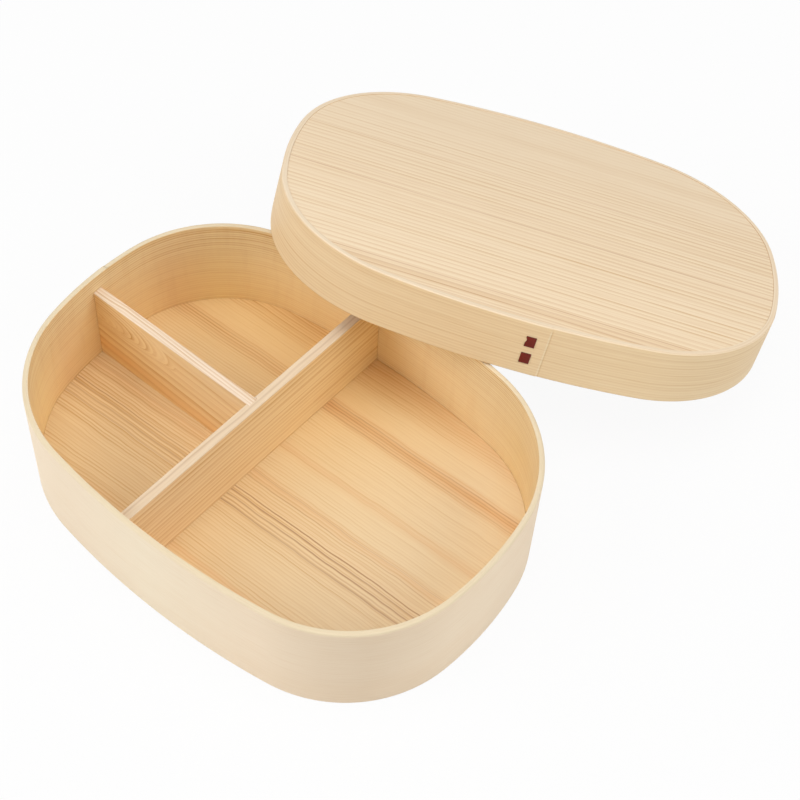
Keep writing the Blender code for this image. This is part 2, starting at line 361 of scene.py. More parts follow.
class Finish:
    # A material on one Principled shader, with one way to add any node
    def __init__(self, name, roughness):
        self.material = bpy.data.materials.new(name)
        self.material.use_nodes = True
        self.tree = self.material.node_tree
        self.shader = self.tree.nodes["Principled BSDF"]
        self.shader.inputs["Roughness"].default_value = roughness

    def add(self, kind, settings=None, sockets=None):
        node = self.tree.nodes.new(kind)
        for name, value in (settings or {}).items():
            if name == "stops":
                self.setStops(node.color_ramp, value)
            else:
                setattr(node, name, value)
        for key, value in (sockets or {}).items():
            self.feed(node.inputs[key], value)
        return node

    def setStops(self, ramp, stops):
        while len(ramp.elements) < len(stops):
            ramp.elements.new(1.0)
        while len(ramp.elements) > len(stops):
            ramp.elements.remove(ramp.elements[-1])
        for element, (position, color) in zip(ramp.elements, stops):
            element.position = position
            element.color = (*color, 1.0) if hasattr(color, "__len__") else (color, color, color, 1.0)

    def feed(self, socket, value):
        if isinstance(value, Amount):
            value = value.socket
        if isinstance(value, bpy.types.NodeSocket):
            self.tree.links.new(value, socket)
        elif hasattr(value, "__len__") and socket.type == "RGBA":
            socket.default_value = (*value[:3], 1.0)
        else:
            socket.default_value = value

    def number(self, kind, settings, sockets):
        return Amount(self, self.add(kind, settings, sockets).outputs[0])

    def point(self, x, y, z):
        return self.add("ShaderNodeCombineXYZ", None, {"X": x, "Y": y, "Z": z}).outputs[0]

    def parts(self, vector):
        split = self.add("ShaderNodeSeparateXYZ", None, {"Vector": vector})
        return [Amount(self, socket) for socket in split.outputs]

    def noise(self, x, y, z, detail=2.0):
        # Soft noise round 0, from about -1 to 1
        raw = self.number(
            "ShaderNodeTexNoise", {"noise_dimensions": "3D", "normalize": True},
            {"Vector": self.point(x, y, z), "Scale": 1.0, "Detail": detail, "Roughness": 0.5},
        )
        return (raw - 0.5) * 2.0

    def ramp(self, amount, stops, interpolation="LINEAR"):
        node = self.add("ShaderNodeValToRGB", {"stops": stops}, {"Fac": amount})
        node.color_ramp.interpolation = interpolation
        return node

    def shaped(self, amount, stops, interpolation="LINEAR"):
        # A number read off a ramp of greys
        return Amount(self, self.ramp(amount, stops, interpolation).outputs["Color"])

    def chance(self, amount):
        # A random number from 0 to 1 for each whole amount
        return self.number("ShaderNodeTexWhiteNoise", {"noise_dimensions": "1D"}, {"W": amount})

    def mixed(self, share, under, over, blend="MIX"):
        # Colours are the seventh and eighth of this node's inputs and the third of its outputs
        node = self.add(
            "ShaderNodeMix",
            {"data_type": "RGBA", "blend_type": blend, "clamp_factor": True},
            {"Factor": share},
        )
        self.feed(node.inputs[6], under)
        self.feed(node.inputs[7], over)
        return node.outputs[2]

    def axes(self, place=None):
        # Object coordinates, in the frame of a placed piece where one is given
        spot = self.add("ShaderNodeTexCoord").outputs["Object"]
        if place is not None:
            spot = self.add("ShaderNodeMapping", {"vector_type": "TEXTURE"}, {
                "Vector": spot, "Location": place.translation, "Rotation": place.to_euler(),
            }).outputs[0]
        return self.parts(spot)

    def mapped(self, name):
        # Both directions of a mesh's own map
        return self.parts(self.add("ShaderNodeUVMap", {"uv_map": name}).outputs[0])[:2]

    def bump(self, height, distance):
        sockets = {"Height": height, "Distance": distance, "Strength": 1.0}
        node = self.add("ShaderNodeBump", None, sockets)
        self.feed(self.shader.inputs["Normal"], node.outputs[0])

    def paint(self, color):
        self.feed(self.shader.inputs["Base Color"], color)


def tint(red, green, blue):
    # A colour written from 0 to 255, as a shader takes it: the standard curve for screen colours
    def linear(value):
        value /= 255.0
        return value / 12.92 if value <= 0.04045 else ((value + 0.055) / 1.055) ** 2.4
    return linear(red), linear(green), linear(blue)


lineShade = (0.62, 0.38, 0.07)  # what the darkest line leaves of each colour
grain = {
    # how dark a year is, by the share of its width: at its start, at its palest and at its end
    "yearStart": [(0.0, 0.25), (0.10, 0.0)],
    "yearPale": 0.05,
    "yearEnd": [(0.86, 0.9), (0.93, 1.0), (1.0, 0.3)],
    # how often each noise changes in a metre, along the grain and across it
    "wanderAcross": 60.0,
    "fadingAlong": 20.0, "fadingAcross": 400.0,
    "streaksAlong": 6.0,
    "tonesAlong": 4.0,
    "fibresAlong": 70.0, "fibresAcross": 2200.0,
    # where two of the noises are cut, so that they don't run alike
    "fadingCut": 3.0, "streaksCut": 4.0,
    # how far the lines' strength comes and goes, and round what
    "fadingSpread": 0.6, "fadingMiddle": 0.85,
    # how steeply, and by what share, bands and marks gain strength
    "gain": 150.0, "gainShare": 0.5,
    # the wood's roughness, and what fibres and lines add to it
    "rough": 0.56, "fibreRough": 0.06, "lineRough": -0.05,
    # what fibres and lines add to the height of its surface
    "fibreHeight": 0.5, "lineHeight": -0.6,
}


def yearLines(finish, spec, place):
    # How dark the year lines are, from 0 to 1. A year darkens slowly towards its end and the next
    # one starts pale; no two are equally wide or strong.
    spread = finish.noise(place * spec["crowding"], spec["seed"], 0.0, detail=1.0) * spec["unevenness"]
    year = place / spec["pitch"] + spread
    number = year.whole()
    stops = [*grain["yearStart"], (spec["paleShare"], grain["yearPale"]), *grain["yearEnd"]]
    line = finish.shaped(year - number, stops, "B_SPLINE")
    chance = finish.chance(number + spec["seed"])
    return line * (chance * chance * (1.0 - spec["weakest"]) + spec["weakest"])


def cedar(finish, spec, ground, along, across, depth, weight):
    # Paints cedar: year lines, streaks between them, bands of colour, stronger marks and fine fibres
    sway = finish.noise(along * spec["waves"], across * grain["wanderAcross"], 0.0, detail=3.0)
    place = across + along * spec["slope"] + sway * spec["wander"]
    fading = finish.noise(along * grain["fadingAlong"], place * grain["fadingAcross"], grain["fadingCut"])
    fading = fading * grain["fadingSpread"] + grain["fadingMiddle"]
    if "strength" in spec:
        middle = spec["reach"] / 2
        stops = [((level + middle) / spec["reach"], share) for level, share in spec["strength"]]
        weight = finish.shaped((place + middle) / spec["reach"], stops) * weight
    lines = (yearLines(finish, spec, place) * fading * weight).clamped()
    streaks = finish.noise(
        place * spec["streaks"], along * grain["streaksAlong"], grain["streaksCut"], detail=3.0
    )
    tones = finish.noise(along * grain["tonesAlong"], place * spec["toneScale"], 0.0)
    fine = grain["fibresAcross"]
    fibres = finish.noise(along * grain["fibresAlong"], across * fine, depth * fine, detail=3.0)
    color = finish.mixed(tones.clamped() * spec["toneShare"], ground, spec["warm"])
    color = finish.mixed((-tones).clamped() * spec["toneShare"], color, spec["pale"])
    if "fromEnd" in spec:
        gained = ((along - spec["fromEnd"]) * grain["gain"]).clamped()
        fading = fading * (gained * grain["gainShare"] + (1.0 - grain["gainShare"]))
    for kind in ("bands", "marks"):
        for middle, width, strength in spec.get(kind, []):
            near = (1.0 - (place - middle).size() / width).clamped() * fading * strength
            color = finish.mixed(near, color, spec["warm" if kind == "bands" else "dark"])
    shade = lines * spec["lineShare"] + streaks * weight * spec["streakShare"]
    shade = shade + fibres * spec["fibreShare"]
    color = finish.mixed(shade.clamped(), color, lineShade, "MULTIPLY")
    color = finish.mixed((-shade).clamped(), color, spec["pale"])
    finish.paint(color)
    rough = fibres * grain["fibreRough"] + lines * grain["lineRough"] + grain["rough"]
    finish.feed(finish.shader.inputs["Roughness"], rough)
    finish.bump(fibres * grain["fibreHeight"] + lines * grain["lineHeight"], spec["relief"])


# The two bent bands

boxBand = {
    "height": 0.0463,
    "thickness": 0.002,
    "round": 0.0009,
    "innerRound": 0.0007,
    "lap": {
        # the outer layer's end: degrees round from +X, how far on from there, and which way
        # round it points, anticlockwise being 1
        "middle": 180.0, "shift": -0.0074, "way": -1.0,
        # the lap's length, how far each layer's end stands proud, and the width of the cut edge
        "length": 0.033, "step": 0.00022, "innerStep": 0.00012, "edge": 0.00018,
    },
    "cornerRound": 0.0008,
}
lidBand = {
    "height": 0.02129,
    "thickness": 0.00199,
    "play": 0.0018,  # room between it and the box's band, on each side
    "round": 0.0006,
    "innerRound": 0.00006,
    "lap": {
        "middle": 270.0, "shift": 0.0122, "way": 1.0,
        "length": 0.033, "step": 0.00022, "innerStep": 0.00012, "edge": 0.00018,
    },
    "cornerRound": 0.0008,
}
lapCorner = {
    "rows": (0.35, 0.5, 0.65, 0.8, 1.0),  # levels with points, in corner rounds
    "fade": 0.005,  # how far along the lap the points make room for it
}


def wrapMap(bm, lap, height, thickness):
    # The band's map: u runs round it from the lap's end, v goes up the outside, over the rim and
    # down the inside
    layer = bm.loops.layers.uv.new("wrap")
    for face in bm.faces:
        middleTurn, _ = ovalFacing(face.calc_center_median())
        middle = lap.past(middleTurn)
        inside = face.normal.dot(outwardsAt(middleTurn)) < -meshing["facing"]
        for loop in face.loops:
            turn, offset = ovalFacing(loop.vert.co)
            past = lap.past(turn)
            past += wholeLength * round((middle - past) / wholeLength)
            level = loop.vert.co.z
            sunk = min(0.0, offset - lap.outer)
            if inside:
                v = 2 * height + thickness - level
            elif face.normal.z < -meshing["facing"]:
                v = offset - lap.outer
            else:
                v = level - sunk if level > height / 2 else level + sunk
            loop[layer].uv = (past, v)


def bandMesh(spec, lap):
    # A band as one ring that swells at its lap, with its upper and lower rims rounded
    bm = bmesh.new()
    turns = lap.turns()
    outerLine = [ovalPoint(turn, lap.outerOffset(lap.past(turn))) for turn in turns]
    innerLine = [ovalPoint(turn, lap.innerOffset(lap.past(turn))) for turn in turns]
    edges = drawnLoop(bm, outerLine) + drawnLoop(bm, innerLine)
    bmesh.ops.bridge_loops(bm, edges=edges)
    raised(bm, 0.0, spec["height"])
    middle = (lap.outer + lap.inner) / 2
    rounded(bm, spec["round"], lambda edge: ovalFacing(edge.verts[0].co)[1] > middle)
    rounded(bm, spec["innerRound"])
    corner = spec["cornerRound"]
    rows = [corner * share for share in lapCorner["rows"]]
    rows += [spec["height"] - spec["round"] * meshing["rowDepth"], spec["height"] / 2]
    addRows(bm, rows)
    # The outer layer's end has its lower corner rounded off
    for vert in bm.verts:
        turn, offset = ovalFacing(vert.co)
        past = lap.past(turn)
        if vert.co.z >= corner or abs(past) > lapCorner["fade"] or offset < middle:
            continue
        back = corner - math.sqrt(max(0.0, corner ** 2 - (corner - vert.co.z) ** 2))
        fade = max(0.0, 1.0 - abs(past) / lapCorner["fade"])
        moved = ovalPoint(lap.at(past - back * fade), offset)
        vert.co.x, vert.co.y = moved
    bm.normal_update()
    wrapMap(bm, lap, spec["height"], spec["thickness"])
    return bm


boxLap = Lap(boxBand["lap"], 0.0, -boxBand["thickness"])
lidLap = Lap(lidBand["lap"], lidBand["play"] + lidBand["thickness"], lidBand["play"])

boxBandWood = {
    # painted light and shade round the outside and the inside: tones by the share of half the way round
    # from the lap's end, paler where more light falls and warmer and darker where shade falls
    "outsideShadedTones": [
        (0.0, tint(251, 231, 201)), (0.39, tint(252, 232, 203)), (0.52, tint(255, 238, 209)),
        (0.69, tint(255, 233, 203)), (0.84, tint(245, 222, 191)), (0.96, tint(251, 230, 200)),
    ],
    # inside: warmer and more orange where shade falls and paler where light falls, as painted shade and
    # light
    "insideShadedTones": [
        (0.0, tint(255, 228, 178)), (0.05, tint(255, 228, 177)), (0.1, tint(249, 218, 168)),
        (0.175, tint(255, 231, 176)), (0.5, tint(255, 229, 181)), (0.645, tint(245, 222, 177)),
        (0.715, tint(238, 212, 160)), (1.0, tint(234, 208, 160)),
    ],
    # painted light on the inside: towards the rim it turns to this paler colour, by this share, and lower
    # down keeps the warmer painted shade
    "upper": tint(255, 238, 198), "upperPaintedLightShare": 0.6,
    "rim": tint(230, 212, 179),
    "warm": tint(232, 194, 142),
    "pale": tint(250, 236, 208),
    "pitch": 0.0012, "paleShare": 0.3, "weakest": 0.5, "seed": 2.0, "slope": 0.004,
    "waves": 14.0, "wander": 0.0003, "crowding": 90.0, "unevenness": 0.8,
    "toneScale": 60.0, "toneShare": 0.2, "streaks": 1100.0, "streakShare": 0.5,
    "lineShare": 0.85, "fibreShare": 0.16, "relief": 0.00003,
    # warm mottles on the inside
    "mottle": 0.4, "mottleAlong": 260.0, "mottleAcross": 30.0,
    # how strong the lines are, how far down the inside they fade, and what is left below
    "insideLines": 1.35, "outsideLines": 0.10, "linesDeep": 0.021, "linesLeft": 0.3,
    # the lap's end: a pale cut edge with a painted highlight on it, and a dark line of glue and painted
    # shadow beside it, which stop below the rim
    "cutWidth": 0.0003, "cutHighlightShare": 0.6, "glueShadowShare": 0.2, "belowRim": 0.001,
}
lidBandWood = dict(
    boxBandWood, outsideShadedTones=[(0.0, tint(242, 215, 172))], rim=tint(245, 224, 194),
    insideShadedTones=[(0.0, tint(236, 204, 156))], upperPaintedLightShare=0.0,
    seed=9.0, pitch=0.0011, outsideLines=0.45, streakShare=0.6,
)


def bandFinish(name, spec, band):
    # By the band's own map: the way round it, and the way up its outside and down its inside
    finish = Finish(name, roughnessOf["wood"])
    along, across = finish.mapped("wrap")
    height = band["height"]
    turnedIn = height + band["thickness"]
    inside = across.over(turnedIn)
    rim = ((across - height + band["round"]) / band["round"]).clamped() * (1.0 - inside)
    mottle = finish.noise(along * spec["mottleAlong"], across * spec["mottleAcross"], 0.0)
    share = along.size() / (wholeLength / 2)
    # Painted light and shade: the tones of the outside and the inside change round the band
    outsideShadedTone, insideShadedTone = (
        finish.ramp(share, spec[key]).outputs["Color"] for key in ("outsideShadedTones", "insideShadedTones")
    )
    down = (1.0 - (across - turnedIn) / spec["linesDeep"]).clamped()
    # Painted light: the inside is paler near the rim and keeps its warmer painted shade lower down
    insideShadedTone = finish.mixed(down * spec["upperPaintedLightShare"], insideShadedTone, spec["upper"])
    ground = finish.mixed(inside, outsideShadedTone, insideShadedTone)
    ground = finish.mixed((mottle * spec["mottle"] * inside).clamped(), ground, spec["warm"])
    ground = finish.mixed(rim, ground, spec["rim"])
    below = ((height - spec["belowRim"] - across) / spec["belowRim"]).clamped()
    # Painted highlight along the lap's cut edge, and a dark line of glue and painted shadow just past it
    cut = (1.0 - (along + spec["cutWidth"]).size() / spec["cutWidth"]).clamped() * below
    ground = finish.mixed(cut * spec["cutHighlightShare"], ground, spec["pale"])
    glueShadow = (1.0 - (along - spec["cutWidth"]).size() / spec["cutWidth"]).clamped() * below
    ground = finish.mixed(glueShadow * spec["glueShadowShare"], ground, lineShade, "MULTIPLY")
    weight = inside * (down * (1.0 - spec["linesLeft"]) + spec["linesLeft"]) * spec["insideLines"]
    weight = weight + (1.0 - inside) * spec["outsideLines"]
    cedar(finish, spec, ground, along, across, 0.0, weight)
    return finish.material


lidBoard = {
    "height": 0.0212,
    "thickness": 0.0047,
    "round": 0.00006,
    "turn": 28.4,  # degrees that the lid is turned in its own plane
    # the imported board's upper level in the lid, and how far it stands off its band
    "packed": 0.021,
    "packedGap": 0.0003,
}


def lidPlaceFrom(node):
    # The leaning lid's own frame, read from its board: Z is square to the board's upper face
    bm = bmesh.new()
    bm.from_mesh(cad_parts[node].data)
    bmesh.ops.remove_doubles(bm, verts=bm.verts[:], dist=meshing["weld"])
    faces = [face for face in bm.faces if face.normal.z > meshing["facing"]]
    up = max(faces, key=lambda face: face.calc_area()).normal
    turned = Matrix.Rotation(math.radians(lidBoard["turn"]), 3, "Z")
    tilt = skyward.rotation_difference(up).to_matrix() @ turned
    points = [tilt.transposed() @ vert.co for vert in bm.verts]
    bm.free()
    halfWidth = oval["width"] / 2 + lidBand["play"] - lidBoard["packedGap"]
    middle = Vector((
        (min(point.x for point in points) + max(point.x for point in points)) / 2,
        max(point.y for point in points) - halfWidth,
        max(point.z for point in points) - lidBoard["packed"],
    ))
    return Matrix.Translation(tilt @ middle) @ tilt.to_4x4()


lidPlace = lidPlaceFrom("lid_top_board")

asPiece(
    "box_band_bent", bandMesh(boxBand, boxLap), None, "box_band", "box",
    bandFinish("box_band_cedar", boxBandWood, boxBand),
)
asPiece(
    "lid_band_bent", bandMesh(lidBand, lidLap), lidPlace, "lid_band", "lid",
    bandFinish("lid_band_cedar", lidBandWood, lidBand),
)
print("bands made")

# The two boards

baseBoard = {"thickness": 0.0055, "round": 0.0002}
floorWood = {
    "ground": tint(236, 208, 161),
    "dark": tint(150, 80, 28),
    "warm": tint(226, 174, 116),
    "pale": tint(246, 226, 188),
    "pitch": 0.0012, "paleShare": 0.5, "weakest": 0.45, "seed": 5.0, "slope": -0.017,
    "waves": 42.0, "wander": 0.0010, "crowding": 60.0, "unevenness": 1.0,
    "toneScale": 45.0, "toneShare": 0.3, "streaks": 1300.0, "streakShare": 0.36,
    "lineShare": 0.66, "fibreShare": 0.16, "relief": 0.00003,
    # how strong the lines are, by their place across the board, over this width
    "reach": 0.14,
    "strength": [
        (-0.065, 0.8), (-0.045, 0.9), (-0.030, 0.7), (-0.024, 1.25), (-0.006, 1.2), (0.0, 0.6),
        (0.030, 0.55), (0.033, 1.1), (0.0385, 1.1), (0.040, 0.3), (0.049, 0.3), (0.051, 0.95),
        (0.065, 1.1),
    ],
    "stronger": -4.5,  # how much stronger the lines are for each metre along
    # place across the board, half width and strength of its warm bands and of its strongest lines
    "bands": [
        (-0.0445, 0.002, 0.5), (-0.004, 0.003, 0.35), (0.0115, 0.0035, 0.35), (0.0358, 0.0048, 0.8),
        (0.060, 0.013, 0.55),
    ],
    "marks": [
        (-0.0198, 0.0005, 0.6), (-0.0184, 0.0003, 0.3), (-0.0166, 0.0004, 0.7), (-0.0143, 0.0004, 0.75),
        (-0.0124, 0.0004, 0.7), (-0.0062, 0.0003, 0.3), (-0.0031, 0.0003, 0.3), (0.0332, 0.0003, 0.3),
        (0.0345, 0.0003, 0.2), (0.0356, 0.0003, 0.25), (0.0367, 0.0003, 0.3), (0.0380, 0.0004, 0.4),
    ],
    "fromEnd": -0.020,  # where along the board they start to gain strength
    # painted light and shade: the board's colour turns paler at its +X end, where more light falls, and
    # warmer at its far side, in the lid's shade; and how far off they are reached
    "end": tint(236, 213, 174), "far": tint(249, 216, 157), "turns": 0.055,
}
lidWood = {
    "ground": tint(248, 225, 192),
    "dark": tint(190, 130, 68),
    "warm": tint(230, 198, 156),
    "pale": tint(250, 234, 204),
    "pitch": 0.0023, "paleShare": 0.45, "weakest": 0.5, "seed": 3.0, "slope": 0.031,
    "waves": 12.0, "wander": 0.0003, "crowding": 50.0, "unevenness": 0.8,
    "toneScale": 40.0, "toneShare": 0.2, "streaks": 1200.0, "streakShare": 0.32,
    "lineShare": 0.66, "fibreShare": 0.16, "relief": 0.00003,
    "reach": 0.14,
    "strength": [(-0.065, 1.0), (0.010, 1.0), (0.030, 0.75), (0.045, 0.45), (0.065, 0.4)],
    "stronger": 2.0,
    "bands": [(-0.061, 0.006, 0.5), (0.049, 0.004, 0.3)],
    "marks": [
        (-0.066, 0.0005, 0.4), (-0.062, 0.0005, 0.5), (-0.0595, 0.0005, 0.4), (-0.057, 0.0005, 0.5),
        (-0.010, 0.0005, 0.5), (-0.003, 0.0004, 0.3), (0.0195, 0.0004, 0.3),
    ],
}


def boardMesh(lap, low, high, round):
    # A flat board that fills a band
    bm = bmesh.new()
    line = [ovalPoint(turn, lap.innerOffset(lap.past(turn)) - tight) for turn in lap.turns()]
    drawnLoop(bm, line, filled=True)
    raised(bm, low, high)
    rounded(bm, round)
    return bm


def boardFinish(name, spec, place=None):
    finish = Finish(name, roughnessOf["wood"])
    along, across, depth = finish.axes(place)
    ground = spec["ground"]
    # Painted light and shade: the ground turns towards the colours of the +X end and the far side
    for amount, key in ((across, "far"), (along, "end")):
        if key in spec:
            ground = finish.mixed((amount / spec["turns"]).clamped(), ground, spec[key])
    cedar(finish, spec, ground, along, across, depth, along * spec["stronger"] + 1.0)
    return finish.material


asPiece(
    "box_base_board_planed", boardMesh(boxLap, 0.0, baseBoard["thickness"], baseBoard["round"]), None,
    "box_base_board", "box", boardFinish("base_board_cedar", floorWood),
)
asPiece(
    "lid_top_board_planed",
    boardMesh(lidLap, lidBoard["height"] - lidBoard["thickness"], lidBoard["height"], lidBoard["round"]),
    lidPlace, "lid_top_board", "lid", boardFinish("lid_board_cedar", lidWood, lidPlace),
)
print("boards made")

# The two dividers

dividers = {
    "thickness": 0.004,
    "height": 0.0337,  # from the board's upper face
    "round": 0.0003,
    # where their middles stand, and how many degrees they are askew
    "longX": -0.0127,
    "longSkew": -2.0,
    "shortY": 0.0011,
    "shortSkew": -0.7,
    "groove": 0.0013,  # depth
    "sideSteps": 3,  # points on each half of an end
}
longWood = {
    # ground and end: painted light and shade along the bar, warmer towards its shaded end and paler towards
    # its lit one
    "ground": tint(247, 221, 182),
    "end": tint(251, 223, 171),
    "turns": 0.09,  # the length over which its colour turns into that of its +X end
    "top": tint(232, 209, 179),
    "dark": tint(176, 136, 92),
    "warm": tint(228, 180, 124),
    "pale": tint(248, 226, 188),
    "pitch": 0.0021, "paleShare": 0.35, "weakest": 0.4, "seed": 4.0, "slope": 0.004,
    "waves": 20.0, "wander": 0.0007, "crowding": 90.0, "unevenness": 0.9,
    "toneScale": 60.0, "toneShare": 0.25, "streaks": 1200.0, "streakShare": 0.5,
    "lineShare": 0.8, "fibreShare": 0.24, "relief": 0.00003,
    # degrees that the year lines lean in the bar's end, and their strength on its upper edge
    "lean": 28.0, "topLines": 0.2,
    # one line along the middle of the upper edge
    "marks": [(0.0298, 0.00025, 0.4)],
}
shortWood = dict(
    # painted shade and light: the short bar is warmer towards the wall and paler towards the long one
    longWood, ground=tint(253, 221, 166), end=tint(247, 222, 180), top=tint(243, 222, 199), pitch=0.0011,
    seed=6.0, lean=75.0, slope=0.02, topLines=1.1,
    marks=[], bands=[(-0.0009, 0.0022, 0.5)], warm=tint(247, 190, 114),
    # the lines' closed tongues: their middle, half length, height above it, how far they push the
    # lines, and how many times lower they are below it
    swirl={
        "along": -0.036, "up": 0.0220, "length": 0.040, "height": 0.0125, "depth": 0.0135,
        "squeeze": 3.0,
    },
)


def standing(x, y, turn):
    # The place of a bar that stands on the base board
    foot = baseBoard["thickness"] + loose
    return Matrix.Translation((x, y, foot)) @ Matrix.Rotation(math.radians(turn), 4, "Z")


def reach(place, across, way):
    # How far a bar runs along its own length, at this side of its middle, to touch the wall
    def inside(along):
        turn, offset = ovalFacing(place @ Vector((way * along, across, 0.0)))
        return offset < boxLap.innerOffset(boxLap.past(turn)) - loose

    return way * lastWhere(inside, 0.0, oval["length"])


def barMesh(line):
    # A bar on this outline, with its long upper edges rounded
    height, thick = dividers["height"], dividers["thickness"]

    def alongTop(edge):
        a, b = (vert.co for vert in edge.verts)
        return min(a.z, b.z) > height / 2 and abs(a.x - b.x) > thick

    bm = bmesh.new()
    drawnLoop(bm, line, filled=True)
    raised(bm, 0.0, height)
    rounded(bm, dividers["round"], alongTop)
    addRows(bm, [height - dividers["round"] * meshing["rowDepth"]])
    return bm


def makeDividers():
    half = dividers["thickness"] / 2
    longPlace = standing(dividers["longX"], 0.0, 90.0 + dividers["longSkew"])
    skew = math.radians(dividers["longSkew"])
    jointX = dividers["longX"] - half - dividers["shortY"] * math.tan(skew)
    shortX = (jointX - oval["length"] / 2) / 2
    shortPlace = standing(shortX, dividers["shortY"], dividers["shortSkew"])
    shortEnd = jointX - shortX + dividers["groove"] - tight
    steps = dividers["sideSteps"]
    sides = [half * (i / steps - 1) for i in range(2 * steps + 1)]

    # The groove's place and room along the long divider, on the side that faces the short one
    toLong = longPlace.inverted() @ shortPlace
    low = toLong @ Vector((shortEnd + tight, half + tight, 0.0))
    high = toLong @ Vector((shortEnd + tight, -half - tight, 0.0))
    left, right = min(low.x, high.x), max(low.x, high.x)
    depth = (low.y + high.y) / 2
    longLine = [Vector((reach(longPlace, side, 1), side)) for side in sides]
    longLine += [Vector((right, half)), Vector((right, depth)), Vector((left, depth)), Vector((left, half))]
    longLine += [Vector((reach(longPlace, side, -1), side)) for side in reversed(sides)]
    shortLine = [Vector((shortEnd, -half)), Vector((shortEnd, half))]
    shortLine += [Vector((reach(shortPlace, side, -1), side)) for side in reversed(sides)]
    return (longPlace, barMesh(longLine)), (shortPlace, barMesh(shortLine))


def dividerFinish(name, spec, place):
    # The year lines stand at a lean in the bar's end, and its upper edge is paler
    finish = Finish(name, roughnessOf["wood"])
    along, across, up = finish.axes(place)
    lean = math.radians(spec["lean"])
    ring = up * math.cos(lean) + across * math.sin(lean)
    depth = across * math.cos(lean) - up * math.sin(lean)
    if "swirl" in spec:
        # The rings' flat side, where the lines close in tongues
        swirl = spec["swirl"]
        lengthwise = (along - swirl["along"]) / swirl["length"]
        upwards = (up - swirl["up"]) / swirl["height"]
        upwards = upwards.most(upwards * -swirl["squeeze"])
        out = (lengthwise * lengthwise + upwards * upwards) ** 0.5
        ring = ring + (1.0 - out).clamped() * swirl["depth"]
    top = up.over(dividers["height"] - dividers["round"])
    # Painted light and shade along the bar: its colour turns into that of its +X end
    ground = finish.mixed((along / spec["turns"] + 0.5).clamped(), spec["ground"], spec["end"])
    ground = finish.mixed(top, ground, spec["top"])
    cedar(finish, spec, ground, along, ring, depth, 1.0 - top * (1.0 - spec["topLines"]))
    return finish.material


(longPlace, longBar), (shortPlace, shortBar) = makeDividers()
asPiece(
    "long_divider_planed", longBar, longPlace, "long_divider", "long_divider",
    dividerFinish("long_divider_cedar", longWood, longPlace),
)
asPiece(
    "short_divider_planed", shortBar, shortPlace, "short_divider", "short_divider",
    dividerFinish("short_divider_cedar", shortWood, shortPlace),
)
print("dividers made")

# The laces of bark

bark = {
    "width": 0.0036,
    "thickness": 0.0006,
    "proud": 0.00025,  # how far it stands off the band's outside
    "tab": 0.0017,  # what runs on inside, past the last stitch
    "stitch": 0.0042,  # the height of one stitch
    "fromEnd": 0.0059,  # how far its middle lies behind the lap's end
    "round": 0.00012,
    "face": tint(120, 34, 26),
    "streak": tint(94, 24, 18),
    "mottle": tint(132, 44, 30),
    "edge": tint(74, 36, 26),
    # how often the streaks and mottles change in a metre, and their shares
    "streaksAlong": 700.0, "streaksUp": 2600.0, "streakShare": 0.5, "streakLeast": 0.4,
    "mottles": 300.0, "mottleShare": 0.6,
    "edgeShare": 0.8,
    "gloss": 0.3,
    "relief": 0.00003,
}
lidLace = {
    "first": 0.0067, "pitch": 0.0069, "count": 2,
    "nick": {"from": 0.0006, "length": 0.0021, "depth": 0.0004, "steps": 8},
}
boxLace = {"first": 0.010, "pitch": 0.008, "count": 4, "nick": None}


def laceMesh(spec, lap):
    # The strip's side view runs down the inside, out and in again at each stitch; it is then
    # drawn out to the strip's width
    past = -bark["fromEnd"]
    outer = lap.outerOffset(past) - lap.outer + bark["proud"]
    inner = lap.innerOffset(past) - lap.outer - tight
    half = bark["thickness"] / 2
    reachOut = (bark["stitch"] - bark["thickness"]) / 2
    middles = [spec["first"] + spec["pitch"] * i for i in reversed(range(spec["count"]))]
    front = [(inner + bark["thickness"], middles[0] + reachOut + half + bark["tab"])]
    back = [(inner, front[0][1])]
    for middle in middles:
        upper, lower = middle + reachOut, middle - reachOut
        front += [(inner + bark["thickness"], upper + half), (outer, upper + half)]
        back += [(inner, upper - half), (outer - bark["thickness"], upper - half)]
        front += [(outer, lower - half), (inner + bark["thickness"], lower - half)]
        back += [(outer - bark["thickness"], lower + half), (inner, lower + half)]
    front.append((inner + bark["thickness"], middles[-1] - reachOut - half - bark["tab"]))
    back.append((inner, front[-1][1]))
    line = [Vector(point) for point in front + back[::-1]]
    bm = bmesh.new()
    drawnLoop(bm, line, filled=True)
    raised(bm, -bark["width"] / 2, bark["width"] / 2)
    rounded(bm, bark["round"])
    if spec["nick"]:
        nickEdge(bm, spec["nick"], middles[0] + reachOut + half, inner + bark["thickness"])
    markEdges(bm)
    turn = lap.at(past)
    foot = ovalPoint(turn, lap.outer)
    outwards = outwardsAt(turn)
    place = Matrix.Translation((foot.x, foot.y, 0.0))
    place @= Matrix((outwards, skyward, outwards.cross(skyward))).transposed().to_4x4()
    bmesh.ops.transform(bm, matrix=place, verts=bm.verts[:])
    return bm


def nickEdge(bm, nick, top, root):
    # A bite out of the upper stitch's left edge, where the bark has chipped
    start, steps = top - nick["from"], nick["steps"]
    levels = [start - nick["length"] * step / steps for step in range(steps + 1)]
    addRows(bm, levels, Vector((0.0, 1.0, 0.0)))
    for vert in bm.verts:
        share = (start - vert.co.y) / nick["length"]
        if 0.0 < share < 1.0 and vert.co.z > 0.0 and vert.co.x > root:
            vert.co.z -= nick["depth"] * math.sin(math.pi * share)


def markEdges(bm):
    # A map that is 1 on the strip's cut edges and 0 on its face
    layer = bm.loops.layers.uv.new("cut")
    bm.normal_update()
    for face in bm.faces:
        for loop in face.loops:
            loop[layer].uv = (0.0 if abs(face.normal.x) > meshing["broad"] else 1.0, 0.0)


